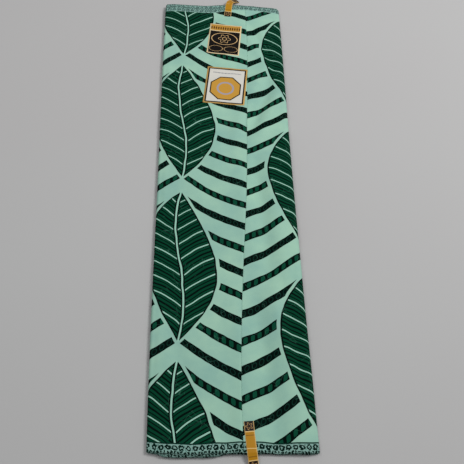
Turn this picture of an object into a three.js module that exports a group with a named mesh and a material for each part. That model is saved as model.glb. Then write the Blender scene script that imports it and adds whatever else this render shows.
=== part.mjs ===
// A length of wax print cotton, wound flat into a long narrow bundle and lying on a surface.
// Millimetres. +Z is up, +X is across the bundle and +Y runs along it, from its near end to its far end.
// The origin is under the middle of the bundle, on the surface that it lies on.
// The outermost turn of the cloth is three walls: the top leaf, the right leaf and the leaf underneath.
// The turns inside are one solid, with a groove between each layer and the next all round its edge.

import * as THREE from "three";
import { mergeVertices } from "three/addons/utils/BufferGeometryUtils.js";

// Driving dimensions
const CLOTH_WIDTH = 1170; // from selvedge to selvedge, which is the bundle's length
const WALL = 1; // one leaf of cloth, with the air that a soft fold holds
const GAP = 0.3; // between one piece and the next
const LIP = 5; // how far a fold's wall runs in under the bundle
const LABEL_THICKNESS = 0.4;
const TAPE_THICKNESS = 0.4;
const TAPE_WIDTH = 18;
const GROOVE_DEPTH = 1.6; // between two hidden layers
const TAPE_CLEAR = 4; // how far past the bundle's ends a tape keeps its height before it comes down
const HIDDEN_INSET = 2.5; // how far the hidden layers stay inside the leaves at both ends
const GROOVE_SHARE = 0.22; // of a hidden layer's height, taken by its groove below and again above

// Rows and columns of facets
const LENGTH_STEPS = 24;
const TOP_STEPS = 10;
const RIGHT_STEPS = 16;
const FOLD_STEPS = 12;
const HIDDEN_STEPS = 14;
const TAPE_STEPS = 18;
const DIP_STEPS = 3;
const LABEL_ROWS = 6;
const LABEL_COLUMNS = 4;
const MERGE_DISTANCE = 1e-4; // points closer than this are one point

// The bundle's outline and heights, in rows from its near end to its far end.
// left, right: the outside of the two folds. cut: the cloth's cut end on top.
// leftHeight, midHeight, rightHeight: the top of the right leaf at the left fold, the middle and the right fold.
// rightRoll: how wide the right fold rounds off.
const OUTLINE = [
  { y: -585, left: -151.6, right: 153.6, leftHeight: 11, midHeight: 12, rightHeight: 11, rightRoll: 5, cut: 17.4 },
  { y: -470, left: -153, right: 152.8, leftHeight: 11, midHeight: 12.5, rightHeight: 12, rightRoll: 6, cut: 17.6 },
  { y: -340, left: -153.6, right: 151, leftHeight: 11, midHeight: 14, rightHeight: 15, rightRoll: 9, cut: 22 },
  { y: -200, left: -153.2, right: 150, leftHeight: 11.5, midHeight: 15.5, rightHeight: 19, rightRoll: 13, cut: 30.5 },
  { y: 0, left: -152.4, right: 149.4, leftHeight: 12, midHeight: 16.5, rightHeight: 20, rightRoll: 13, cut: 44.5 },
  { y: 200, left: -152.8, right: 150.6, leftHeight: 12, midHeight: 16, rightHeight: 18, rightRoll: 11, cut: 52.5 },
  { y: 400, left: -152.6, right: 152.6, leftHeight: 12.5, midHeight: 15, rightHeight: 15, rightRoll: 8, cut: 60.5 },
  { y: 585, left: -151.4, right: 153.6, leftHeight: 14, midHeight: 16, rightHeight: 13, rightRoll: 5, cut: 61.3 },
];
const LEFT_ROLL = 5;

// Where the leaves' two selvedges lie, at places across the bundle. farTop is the top leaf's, which stays behind.
const SELVEDGES = [
  { x: -153, near: -580.5, far: 583, farTop: 571 },
  { x: -118, near: -584, far: 583, farTop: 572 },
  { x: -60, near: -586, far: 580, farTop: 567 },
  { x: -20, near: -584.5, far: 583, farTop: 569 },
  { x: 30, near: -584.5, far: 588, farTop: 582 },
  { x: 60, near: -585, far: 587, farTop: 585 },
  { x: 95, near: -586, far: 584.5, farTop: 584.5 },
  { x: 135, near: -585.5, far: 583, farTop: 583 },
  { x: 154, near: -584.5, far: 578, farTop: 578 },
];

// The hidden layers from the lowest to the topmost, and how far each reaches past the inset at each end.
const HIDDEN_LAYERS = [
  { near: 1, far: 2 },
  { near: 6, far: -1 },
  { near: 3, far: 3 },
  { near: 7, far: 0.5 },
  { near: 5, far: 4 },
  { near: 7.5, far: 1.5 },
  { near: 2, far: 3.5 },
];
// The stretch of the near end where they reach out. Elsewhere they stay in by HIDDEN_INSET.
const NEAR_STRETCH = { from: -138, to: -12, fade: 10 };

// Two paper labels stuck on the top leaf: the middle of each, its size and its turn in degrees.
const LABELS = [
  { name: "far_label", x: 3.4, y: 452.6, width: 80, length: 108, turn: -4.6 },
  { name: "near_label", x: 3.2, y: 288.6, width: 98, length: 119, turn: -4.4 },
];

// Two paper tapes, one at each end, by their middle lines. z is left out where the tape lies on a leaf.
const TAPES = [
  {
    name: "near_tape",
    route: [
      { x: 28.2, y: -530 },
      { x: 30.3, y: -558 },
      { x: 33, y: -584 },
      { x: 33.4, y: -588.5, z: 12.2 },
      { x: 34.4, y: -596, z: 7.4 },
      { x: 35.9, y: -608, z: 2.2 },
      { x: 38, y: -625, z: 0.3 },
    ],
  },
  {
    name: "far_tape",
    route: [
      { x: 13, y: 540 },
      { x: 16, y: 566 },
      { x: 18.4, y: 587 },
      { x: 19.4, y: 591.5, z: 17.6 },
      { x: 24, y: 599, z: 13.2 },
      { x: 32, y: 608, z: 6.4 },
      { x: 45, y: 619.4, z: 0.3 },
    ],
  },
];

// Colours, as the eye sees them
const CLOTH_COLOUR = "#7fb49d";
const HIDDEN_COLOUR = "#6b9f8a";
const LABEL_COLOURS = { far_label: "#3a2a1c", near_label: "#e3dccb" };
const TAPE_COLOUR = "#c08a2a";
const CLOTH_ROUGHNESS = 0.85;
const PAPER_ROUGHNESS = 0.4;

const HALF_LENGTH = CLOTH_WIDTH / 2;
const UNDERSIDE = WALL + GAP; // the height of the hidden layers' flat base
const LEAF_STEP = WALL + GAP; // from one leaf to the next one out
const RIGHT_LEAF_END = 14; // how far the right leaf's hidden end stays from the left fold
const TOP_LEAF_DIP = 12; // over this width the top leaf comes down on to the left fold

const { lerp, degToRad, smoothstep } = THREE.MathUtils;
const steps = (count, make) => Array.from({ length: count + 1 }, (_, i) => make(i / count));

// A smooth curve through one column of a table, read at a place along its first column.
function curve(rows, key, column, at) {
  const last = rows.length - 1;
  const next = rows.findIndex((row) => row[key] > at);
  const end = next < 0 ? last : Math.max(next, 1);
  const [a, b] = [rows[end - 1], rows[end]];
  const span = b[key] - a[key];
  const slope = (low, high) => (rows[high][column] - rows[low][column]) / (rows[high][key] - rows[low][key]);
  const slopeA = slope(Math.max(end - 2, 0), end) * span;
  const slopeB = slope(end - 1, Math.min(end + 1, last)) * span;
  const u = THREE.MathUtils.clamp((at - a[key]) / span, 0, 1);
  const [u2, u3] = [u * u, u * u * u];
  return (
    (2 * u3 - 3 * u2 + 1) * a[column] +
    (u3 - 2 * u2 + u) * slopeA +
    (3 * u2 - 2 * u3) * b[column] +
    (u3 - u2) * slopeB
  );
}

const outline = (column, y) => curve(OUTLINE, "y", column, y);
const selvedge = (column, x) => curve(SELVEDGES, "x", column, x);

// The middles of the two folds: between them the bundle's top and underside are flat.
const leftFold = (y) => outline("left", y) + LEAF_STEP + LEFT_ROLL;
const rightFold = (y) => outline("right", y) - LEAF_STEP - outline("rightRoll", y);

// The hidden layers' top at a place: a parabola through its heights at the two folds and the middle.
function hiddenTop(x, y) {
  const [left, right] = [leftFold(y), rightFold(y)];
  const middle = (left + right) / 2;
  const u = THREE.MathUtils.clamp((x - middle) / (right - middle), -1, 1);
  const mid = outline("midHeight", y);
  const tilt = (outline("rightHeight", y) - outline("leftHeight", y)) / 2;
  const dip = (outline("rightHeight", y) + outline("leftHeight", y)) / 2 - mid;
  return mid + tilt * u + dip * u * u - LEAF_STEP;
}

// A point of a fold's round, at an angle counted from the top, a little way outside the hidden layers.
function foldPoint(side, y, degrees, outside) {
  const x = side < 0 ? leftFold(y) : rightFold(y);
  const roll = side < 0 ? LEFT_ROLL : outline("rightRoll", y);
  const top = hiddenTop(x, y);
  const angle = degToRad(degrees);
  return {
    x: x + side * (roll + outside) * Math.sin(angle),
    z: (top + UNDERSIDE) / 2 + ((top - UNDERSIDE) / 2 + outside) * Math.cos(angle),
  };
}

// A place on the bundle: along it by a share of its length, so that both ends follow the selvedges.
const placed = (share, { x, z }, far) =>
  new THREE.Vector3(x, lerp(selvedge("near", x), selvedge(far, x), share), z);
const nominal = (share) => lerp(-HALF_LENGTH, HALF_LENGTH, share);
const shareAt = (x, y) => (y - selvedge("near", x)) / (selvedge("far", x) - selvedge("near", x));

// A closed solid from points and quads, with its faces pointing out.
function solid(points, quads) {
  const triangles = quads.flatMap(([a, b, c, d]) => (c === d ? [a, b, c] : [a, b, c, a, c, d]));
  const raw = new THREE.BufferGeometry().setFromPoints(points);
  raw.setIndex(triangles);
  let volume = 0;
  for (let i = 0; i < triangles.length; i += 3) {
    const [p, q, r] = [0, 1, 2].map((k) => points[triangles[i + k]]);
    volume += p.dot(new THREE.Vector3().crossVectors(q, r));
  }
  if (volume < 0) raw.setIndex(triangles.reverse());
  const geometry = mergeVertices(raw, MERGE_DISTANCE);
  geometry.computeVertexNormals();
  return geometry;
}

// A wall between two grids of points of the same size, closed round its four edges.
function wall(outer, inner) {
  const [rows, columns] = [outer.length, outer[0].length];
  const points = [...outer.flat(), ...inner.flat()];
  const out = (i, j) => i * columns + j;
  const back = (i, j) => rows * columns + out(i, j);
  const quads = [];
  for (let i = 0; i < rows - 1; i++) {
    for (let j = 0; j < columns - 1; j++) {
      quads.push([out(i, j), out(i, j + 1), out(i + 1, j + 1), out(i + 1, j)]);
      quads.push([back(i, j), back(i + 1, j), back(i + 1, j + 1), back(i, j + 1)]);
    }
    quads.push([out(i, 0), out(i + 1, 0), back(i + 1, 0), back(i, 0)]);
    quads.push([out(i + 1, columns - 1), out(i, columns - 1), back(i, columns - 1), back(i + 1, columns - 1)]);
  }
  for (let j = 0; j < columns - 1; j++) {
    quads.push([out(0, j + 1), out(0, j), back(0, j), back(0, j + 1)]);
    quads.push([out(rows - 1, j), out(rows - 1, j + 1), back(rows - 1, j + 1), back(rows - 1, j)]);
  }
  return solid(points, quads);
}

// A wall swept along the bundle from a section, which gives its outer or inner points at one place.
function sweep(section, far) {
  const grid = (out) =>
    steps(LENGTH_STEPS, (share) => section(nominal(share), out).map((point) => placed(share, point, far)));
  return wall(grid(WALL), grid(0));
}

// How far the top leaf's inner face lies above the hidden layers: on the right leaf, and down on to the fold.
function topLeafLift(x, y) {
  return GAP + LEAF_STEP * smoothstep(x, leftFold(y), leftFold(y) + TOP_LEAF_DIP);
}

// The top leaf, from the cloth's cut end over the left fold to a lip underneath.
function topLeafSection(y, out) {
  const flat = steps(TOP_STEPS, (u) => {
    const x = lerp(outline("cut", y), leftFold(y) + TOP_LEAF_DIP, u);
    return { x, z: hiddenTop(x, y) + topLeafLift(x, y) + out };
  });
  const dip = steps(DIP_STEPS, (u) => {
    const x = leftFold(y) + TOP_LEAF_DIP * (1 - u);
    return { x, z: hiddenTop(x, y) + topLeafLift(x, y) + out };
  });
  const fold = steps(FOLD_STEPS, (u) => foldPoint(-1, y, 180 * u, GAP + out));
  const lip = { x: leftFold(y) + LIP, z: UNDERSIDE - GAP - out };
  return [...flat, ...dip.slice(1), ...fold.slice(1), lip];
}

// The right leaf, from its hidden end under the top leaf over the right fold to a lip underneath.
function rightLeafSection(y, out) {
  const flat = steps(RIGHT_STEPS, (u) => {
    const x = lerp(leftFold(y) + RIGHT_LEAF_END, rightFold(y), u);
    return { x, z: hiddenTop(x, y) + GAP + out };
  });
  const fold = steps(FOLD_STEPS, (u) => foldPoint(1, y, 180 * u, GAP + out));
  const lip = { x: rightFold(y) - LIP, z: UNDERSIDE - GAP - out };
  return [...flat, ...fold.slice(1), lip];
}

// The leaf underneath, flat on the surface between the two lips.
function underLeafSection(y, out) {
  const z = UNDERSIDE - GAP - out;
  return [
    { x: leftFold(y) + LIP + GAP, z },
    { x: rightFold(y) - LIP - GAP, z },
  ];
}

// How far the hidden layers reach out at the near end: 1 along the stretch where they show, and 0 elsewhere.
const nearReach = (x) =>
  smoothstep(x, NEAR_STRETCH.from, NEAR_STRETCH.from + NEAR_STRETCH.fade) *
  (1 - smoothstep(x, NEAR_STRETCH.to - NEAR_STRETCH.fade, NEAR_STRETCH.to));

// A level of the hidden layers: its share of the height, its groove and its layer's reach.
const hiddenLevels = HIDDEN_LAYERS.flatMap((layer, i) => {
  const level = (height, groove) => ({ height: (i + height) / HIDDEN_LAYERS.length, groove, layer });
  const levels = [level(0, GROOVE_DEPTH), level(GROOVE_SHARE, 0), level(1 - GROOVE_SHARE, 0)];
  return i === HIDDEN_LAYERS.length - 1 ? [...levels, level(1, GROOVE_DEPTH)] : levels;
});

// One point of the hidden layers, by its shares of the height, the length and the width.
function hiddenPoint({ height, groove, layer }, along, across) {
  const y = nominal(along);
  const round = 1 - Math.sqrt(Math.max(0, 1 - (2 * height - 1) ** 2));
  const left = leftFold(y) - LEFT_ROLL * (1 - round) + groove * (1 - round);
  const roll = outline("rightRoll", y);
  const right = rightFold(y) + roll * (1 - round) - groove * (1 - round);
  const x = lerp(left, right, across);
  const near = selvedge("near", x) + HIDDEN_INSET + groove - layer.near * nearReach(x);
  const far = selvedge("far", x) - HIDDEN_INSET - groove + layer.far;
  return new THREE.Vector3(x, lerp(near, far, along), lerp(UNDERSIDE, hiddenTop(x, y), height));
}

// The hidden layers: a flat base, a top, and a side of grooved levels all round the grid's edge.
function hiddenLayers() {
  const [rows, columns] = [LENGTH_STEPS, HIDDEN_STEPS];
  const cells = (rows + 1) * (columns + 1);
  const grid = (level) =>
    steps(rows, (along) => steps(columns, (across) => hiddenPoint(level, along, across))).flat();
  const at = (i, j) => i * (columns + 1) + j;
  const border = [
    ...Array.from({ length: columns }, (_, j) => [0, j]),
    ...Array.from({ length: rows }, (_, i) => [i, columns]),
    ...Array.from({ length: columns }, (_, j) => [rows, columns - j]),
    ...Array.from({ length: rows }, (_, i) => [rows - i, 0]),
  ];
  const base = hiddenLevels[0];
  const crown = hiddenLevels[hiddenLevels.length - 1];
  const rings = hiddenLevels.slice(1, -1).map((level) =>
    border.map(([i, j]) => hiddenPoint(level, i / rows, j / columns)),
  );
  const points = [...grid(base), ...grid(crown), ...rings.flat()];
  const ring = (k, n) => {
    const [i, j] = border[n % border.length];
    if (k === 0) return at(i, j);
    if (k === hiddenLevels.length - 1) return cells + at(i, j);
    return 2 * cells + (k - 1) * border.length + (n % border.length);
  };
  const quads = [];
  for (let i = 0; i < rows; i++) {
    for (let j = 0; j < columns; j++) {
      quads.push([at(i, j), at(i + 1, j), at(i + 1, j + 1), at(i, j + 1)]);
      quads.push([at(i, j), at(i, j + 1), at(i + 1, j + 1), at(i + 1, j)].map((n) => cells + n));
    }
  }
  for (let k = 0; k < hiddenLevels.length - 1; k++) {
    for (let n = 0; n < border.length; n++) {
      quads.push([ring(k, n), ring(k, n + 1), ring(k + 1, n + 1), ring(k + 1, n)]);
    }
  }
  return solid(points, quads);
}

// The outer face of whichever leaf is on top at a place.
function faceHeight(x, y) {
  const along = nominal(shareAt(x, y));
  const onTopLeaf = x < outline("cut", along);
  const lift = onTopLeaf ? topLeafLift(x, along) : GAP;
  return hiddenTop(x, along) + lift + WALL;
}

// A paper label: a thin wall made from the points of the leaf that it lies on, moved out.
function label({ x, y, width, length, turn }) {
  const angle = degToRad(turn);
  const grid = (out) =>
    steps(LABEL_ROWS, (v) =>
      steps(LABEL_COLUMNS, (u) => {
        const [across, along] = [(u - 0.5) * width, (v - 0.5) * length];
        const px = x + across * Math.cos(angle) - along * Math.sin(angle);
        const py = y + across * Math.sin(angle) + along * Math.cos(angle);
        return new THREE.Vector3(px, py, faceHeight(px, py) + GAP + out);
      }),
    );
  return wall(grid(LABEL_THICKNESS), grid(0));
}

// A paper tape: a thin strip along its middle line, on the leaf first and then down to the surface.
function tape({ route }) {
  const line = new THREE.CatmullRomCurve3(
    route.map(({ x, y, z }) => new THREE.Vector3(x, y, z ?? faceHeight(x, y) + GAP)),
    false,
    "centripetal",
  );
  const grid = (out) =>
    steps(TAPE_STEPS, (u) => {
      const middle = line.getPoint(u);
      const heading = line.getTangent(u);
      const side = new THREE.Vector3(heading.y, -heading.x, 0).setLength(TAPE_WIDTH / 2);
      const up = new THREE.Vector3().crossVectors(side, heading).setLength(out);
      return [-1, 0, 1].map((edge) => {
        const point = middle.clone().addScaledVector(side, edge);
        const past = Math.abs(point.y) > HALF_LENGTH + TAPE_CLEAR;
        if (!past) point.z = faceHeight(point.x, point.y) + GAP;
        return point.add(up);
      });
    });
  return wall(grid(TAPE_THICKNESS), grid(0));
}

function piece(name, geometry, color, roughness) {
  const mesh = new THREE.Mesh(geometry, new THREE.MeshStandardMaterial({ color, roughness, metalness: 0 }));
  mesh.name = name;
  return mesh;
}

const bundle = new THREE.Group();
bundle.add(
  piece("under_leaf", sweep(underLeafSection, "far"), CLOTH_COLOUR, CLOTH_ROUGHNESS),
  piece("hidden_layers", hiddenLayers(), HIDDEN_COLOUR, CLOTH_ROUGHNESS),
  piece("right_leaf", sweep(rightLeafSection, "far"), CLOTH_COLOUR, CLOTH_ROUGHNESS),
  piece("top_leaf", sweep(topLeafSection, "farTop"), CLOTH_COLOUR, CLOTH_ROUGHNESS),
);
for (const spec of LABELS) bundle.add(piece(spec.name, label(spec), LABEL_COLOURS[spec.name], PAPER_ROUGHNESS));
for (const spec of TAPES) bundle.add(piece(spec.name, tape(spec), TAPE_COLOUR, PAPER_ROUGHNESS));

export default bundle;
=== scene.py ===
# %% [markdown]
# # A folded length of wax print cotton
#
# Wax print is a crisp, plain-woven cotton, about 46 inches wide, printed on both sides in strong colours. A shop sells
# it in lengths of six yards. The length is wound flat round and round into a bundle twelve inches wide, so its two
# selvedges end up at the two ends of the bundle. Paper labels and sealing tapes are stuck on top.
#
# The lesson builds it as it is made: one long cloth laid in turns, then printed, then labelled. Sizes are in
# millimetres, and one number, MM, turns them into Blender's metres where a mesh is made.

# %% Load the fixed frame
import math
import random

import bpy
import numpy as np
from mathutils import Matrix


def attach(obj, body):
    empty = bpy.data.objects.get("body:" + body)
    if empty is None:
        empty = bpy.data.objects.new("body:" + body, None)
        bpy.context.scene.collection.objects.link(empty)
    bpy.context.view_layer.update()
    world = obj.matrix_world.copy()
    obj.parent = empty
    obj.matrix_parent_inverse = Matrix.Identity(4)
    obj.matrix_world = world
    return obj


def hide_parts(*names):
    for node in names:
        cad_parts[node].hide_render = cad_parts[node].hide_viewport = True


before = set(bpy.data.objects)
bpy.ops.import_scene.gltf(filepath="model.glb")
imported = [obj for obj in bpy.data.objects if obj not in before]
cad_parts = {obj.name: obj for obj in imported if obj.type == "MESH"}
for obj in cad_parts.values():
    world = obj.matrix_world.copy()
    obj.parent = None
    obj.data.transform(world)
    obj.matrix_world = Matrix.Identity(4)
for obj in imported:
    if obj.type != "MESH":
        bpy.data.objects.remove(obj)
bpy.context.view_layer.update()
MM = 0.001

# %% [markdown]
# ## The camera
#
# The bundle is long and was photographed from above its near end, so the far end looks narrower. A longer lens would
# hide that. The lens and the place below were solved from the bundle's outline, whose length is the cloth's width.

# %% The camera
SCENE = bpy.context.scene


def new_object(name, data):
    """A named object in the scene."""
    made = bpy.data.objects.new(name, data)
    SCENE.collection.objects.link(made)
    return made


camera_data = bpy.data.cameras.new("camera")
camera_data.sensor_width = 36
camera_data.lens = 50.43
camera = new_object("camera", camera_data)
camera.location = (-0.08778, -0.85628, 1.17339)
camera.rotation_euler = (0.558771, -0.067366, -0.024988)
SCENE.camera = camera
SCENE.view_settings.view_transform = "Standard"
print("camera lens in mm:", round(camera_data.lens, 2))

# %% [markdown]
# ## The bundle's measures
#
# A wound bundle isn't a box. Its right fold is puffy in the middle, where the turns have sprung apart, and both folds
# are pressed sharp at the ends. A short table of measures along the bundle says all that, and a smooth curve is read
# through each of its columns. This is quicker to adjust than a mesh of a thousand points.

# %% Tables of measures, and a smooth curve through a column
CLOTH_WIDTH = 1170
OUTLINE = {
    "y": (-585, -470, -340, -200, 0, 200, 400, 585),
    "left": (-151.6, -153, -153.6, -153.2, -152.4, -152.8, -152.6, -151.4),
    "right": (153.6, 152.8, 151, 150, 149.4, 150.6, 152.6, 153.6),
    "left_height": (11, 11, 11, 11.5, 12, 12, 12.5, 14),
    "mid_height": (12, 12.5, 14, 15.5, 16.5, 16, 15, 16),
    "right_height": (11, 12, 15, 19, 20, 18, 15, 13),
    "right_roll": (5, 6, 9, 13, 13, 11, 8, 5),
    "cut": (17.4, 17.6, 22, 30.5, 44.5, 52.5, 60.5, 61.3),
}
SELVEDGES = {
    "x": (-153, -118, -60, -20, 30, 60, 95, 135, 154),
    "near": (-580.5, -584, -586, -584.5, -584.5, -585, -586, -585.5, -584.5),
    "far": (583, 583, 580, 583, 588, 587, 584.5, 583, 578),
    "far_top": (571, 572, 567, 569, 582, 585, 584.5, 583, 578),
}


def smooth(table, key, column, at):
    """Reads a column of a table at any place along its key column, on a smooth curve."""
    k, v = np.array(table[key], float), np.array(table[column], float)
    slope = np.empty_like(v)
    slope[1:-1] = (v[2:] - v[:-2]) / (k[2:] - k[:-2])
    slope[0], slope[-1] = (v[1] - v[0]) / (k[1] - k[0]), (v[-1] - v[-2]) / (k[-1] - k[-2])
    b = np.clip(np.searchsorted(k, at, side="right"), 1, len(k) - 1)
    a = b - 1
    span = k[b] - k[a]
    u = np.clip((at - k[a]) / span, 0, 1)
    return (
        (2 * u**3 - 3 * u**2 + 1) * v[a]
        + (u**3 - 2 * u**2 + u) * slope[a] * span
        + (3 * u**2 - 2 * u**3) * v[b]
        + (u**3 - u**2) * slope[b] * span
    )


def step(low, high, x):
    """Goes smoothly from 0 at low to 1 at high."""
    u = np.clip((x - low) / (high - low), 0, 1)
    return u * u * (3 - 2 * u)


print("right fold's outside in mm, at the middle:", float(smooth(OUTLINE, "y", "right", 0.0)))

# %% [markdown]
# ## The relief of the top
#
# Cotton that has been wound and pressed keeps long, soft troughs and a few shallow dents, up to seven millimetres
# deep. The deepest lie along the puffy right fold, where the turns have sprung apart. They are hardly seen as shapes,
# but they break up the light, and without them a flat top looks like card. A cloth simulation would not give them,
# because they come from the hands that wound the cloth. Each is written down in a column: where its middle is, how
# many degrees it turns from the bundle's length, how long and wide, and how deep.

# %% Troughs, dents and a fine ripple
TROUGHS = {
    "x": (84, 64, 74, 128, -10, -84, 102, -118, -62, 4, -96, 60, -40, -62, -30, 112),
    "y": (222, -420, -90, -420, -548, -150, 430, 260, 60, 150, -420, 470, -535, 322, 540, 330),
    "turn": (28, 2, 4, -1, 12, -6, -14, 4, -10, 8, -6, 80, 60, 84, 86, 34),
    "length": (210, 350, 330, 340, 100, 200, 160, 260, 300, 240, 240, 80, 90, 150, 110, 90),
    "width": (14, 20, 17, 9, 12, 14, 10, 11, 16, 12, 12, 11, 13, 9, 11, 10),
    "depth": (6.6, 6.0, 5.4, 2.8, 2.2, 1.3, 4.0, 1.0, 0.9, 0.7, 1.1, 1.4, 1.3, 1.3, 1.0, 3.0),
}
RIPPLE, FINE_RIPPLE = 0.5, 0.25  # a long ripple and a shorter one, both at a slant
BOW = 0.06  # how far a trough sways sideways, as a share of its length
RIM, RIM_AT = 0.45, 2.1  # the raised rim beside a trough: its height in depths, and its place in widths


def relief(x, y):
    """How far the bundle's top lies above or below its smooth form, in mm."""
    height = RIPPLE * np.sin(x / 31 + y / 83) * np.sin(y / 57 - x / 47) + FINE_RIPPLE * np.sin(x / 13 + y / 29)
    for x0, y0, turn, length, width, depth in zip(*TROUGHS.values()):
        angle = math.radians(turn)
        along = (y - y0) * math.cos(angle) + (x - x0) * math.sin(angle)
        across = (x - x0) * math.cos(angle) - (y - y0) * math.sin(angle)
        across = across + BOW * length * np.sin(along / length * 2.4)
        fade = np.exp(-((along / (0.5 * length)) ** 4))
        height -= depth * fade * np.exp(-((across / width) ** 2))
        height += RIM * depth * fade * np.exp(-(((np.abs(across) - RIM_AT * width) / width) ** 2))
    return height


print("troughs:", len(TROUGHS["x"]))

# %% [markdown]
# ## The winding
#
# The cloth is laid as it is wound: from its cut end on top to the left fold, round it, under the bundle, round the
# right fold and back over the top, nine times, each turn inside the last. Eighteen layers stand on each other, and
# each is a third of a millimetre of cotton with a little air. One closed block with lines on its sides would be
# cheaper, but its ends would never show the nested folds that say "this is one long cloth".
#
# A layer's level counts the turns outside it. The top leaf is level 0. Just before the left fold each turn steps down
# by one level, so the winding closes on itself.

# %% One leg of the winding
THICKNESS = 0.35
LEAF_STEP = 1.3  # from the right leaf's middle up to the top leaf's
LEFT_ROLL = 5.0  # how far the left fold reaches out past the flat of the bundle
DIP = 12.0  # how wide the step down before the left fold is
LEVELS = 9
REST_HEIGHT = 0.3  # of the lowest layer's middle
END = 0.03  # how much of the bundle's length counts as its end
LOOSE = 0.16  # how far the layers part at the ends
LIFT, LIFT_WAVE = 0.7, 0.6  # how far the top leaf lifts off there, and how unevenly
SINK = 2.0  # how far the turns inside sink, clear of the troughs
SHORT = 0.28  # how far each fold falls short of the one outside it


def left_fold(y):
    """Where the flat of the bundle ends and the left fold begins."""
    return smooth(OUTLINE, "y", "left", y) + LEAF_STEP + LEFT_ROLL


def right_fold(y):
    """Where the flat of the bundle ends and the right fold begins."""
    return smooth(OUTLINE, "y", "right", y) - LEAF_STEP - smooth(OUTLINE, "y", "right_roll", y)


def layer_top(x, y):
    """The height of level 1, the right leaf, on top of the bundle."""
    left, right = left_fold(y), right_fold(y)
    middle = (left + right) / 2
    u = np.clip((x - middle) / (right - middle), -1, 1)
    low, mid, high = (smooth(OUTLINE, "y", name, y) for name in ("left_height", "mid_height", "right_height"))
    form = mid + (high - low) / 2 * u + ((high + low) / 2 - mid) * u * u
    return form - THICKNESS + relief(x, y)


def half_stack(x, y):
    """The height halfway between the right leaf and the lowest layer, and how far both are from it."""
    top = layer_top(x, y)
    return (top + REST_HEIGHT) / 2, (top - REST_HEIGHT) / 2


def nesting(level):
    """How far a layer is from the middle of the stack: 1 for the right leaf, and nearly 0 for the innermost."""
    return 1 - (np.maximum(level, 1) - 1) / (LEVELS - 0.5)


def at_ends(place):
    """1 at both ends of the bundle and 0 a little way in. place is a share of its length."""
    return step(1 - END, 1, place) + step(END, 0, place)


def height_at(x, y, level, upper=True):
    """The height of a layer on the flat of the bundle, on its upper or its lower side."""
    middle, half = half_stack(x, y)
    height = middle + (1 if upper else -1) * half * nesting(level) + LEAF_STEP * np.maximum(1 - level, 0)
    # Near both ends the layers part a little, and the top leaf lifts off the one below it, except at its cut end.
    place = y / CLOTH_WIDTH + 0.5
    across = np.clip((x - left_fold(y)) / (right_fold(y) - left_fold(y)), 0, 1)
    loose = LOOSE * np.sin(x / 17 + 3.1 * level) * (upper | (level > 1))
    lift = (level < 1) * (LIFT + LIFT_WAVE * np.sin(x / 26 + 1)) * step(61, 30, x)
    height = height + at_ends(place) * np.sin(math.pi * across) * (loose + lift)
    # Away from the ends and the folds the turns inside sink a little, clear of the troughs in the face.
    clear = step(0, 0.08, across) * step(1, 0.92, across) * step(0.02, 0.07, place) * step(0.98, 0.93, place)
    return height - SINK * upper * clear * step(1, 2, level) * (1 - (level - 2) / LEVELS)


def round_fold(side, y, share, level):
    """x and z round a fold, which is half an ellipse that shrinks from turn to turn."""
    fold = left_fold(y) if side < 0 else right_fold(y)
    roll = LEFT_ROLL if side < 0 else smooth(OUTLINE, "y", "right_roll", y)
    angle = math.pi * (share if side < 0 else 1 - share)
    middle, half = half_stack(fold, y)
    # An inner turn falls a little short of the fold outside it, by a different amount all along.
    short = SHORT * (level - 1) * (1.2 + np.sin(y / 71 + 1.9 * level))
    reach = (roll + LEAF_STEP - THICKNESS / 2) * nesting(level) * np.sin(angle) - short * np.sin(angle) ** 2
    return fold + side * reach, middle + half * nesting(level) * np.cos(angle)


def leg(kind, turn, y, share):
    """x and z along one leg of a turn: y in rows, share in columns."""
    left, right = left_fold(y), right_fold(y)
    if kind == "left fold":
        return round_fold(-1, y, share, turn + 1.0)
    if kind == "right fold":
        return round_fold(1, y, share, turn + 1.0)
    if kind == "under":
        x = left + (right - left) * share
        return x, height_at(x, y, turn + 1.0, upper=False)
    if kind == "dip":
        x = left + DIP * (1 - share)
        return x, height_at(x, y, turn + step(0, 1, share))
    start = smooth(OUTLINE, "y", "cut", y) if kind == "cut end" else right
    x = start + (left + DIP - start) * share
    return x, height_at(x, y, turn)


print("one layer and its air, in mm:", round(float(layer_top(0.0, 0.0)) / (2 * LEVELS), 2))

# %% [markdown]
# The two ends of the bundle are its selvedges. The outer turn's follow the table. The turns inside were not laid
# quite in line: at the near end some reach out past the top leaf along the left part. At the far end the top leaf
# itself stays 12 mm behind, and the turns inside reach out on the right, so the layers below show their edges.

# %% A stretch of the winding, laid leg by leg
INSET = 2.5  # how far the turns inside stay behind the outer one, less what each reaches out
FAR_RIGHT = 4  # how much further they reach out at the right of the far end
# How far each half of a turn reaches out, at the near end and at the far end.
NEAR_REACH = (1.5, 0.5, 5.5, 2, 7.5, 3.5, 1, 6.5, 4.5, 8, 2.5, 5, 7, 3, 6, 1.5, 4, 2, 5, 3)
FAR_REACH = (3, 1, 4.5, 2, 0, 3.5, 1.5, 5, 2.5, 0.5, 4, 1, 3, 4.5, 0.5, 2, 3.5, 1, 2.5, 1.5)
PLACE = {  # which part of a turn each leg is
    "cut end": (0, 0.42),
    "over": (0, 0.42),
    "dip": (0.42, 0.45),
    "left fold": (0.45, 0.5),
    "under": (0.5, 0.95),
    "right fold": (0.95, 1),
}


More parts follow.
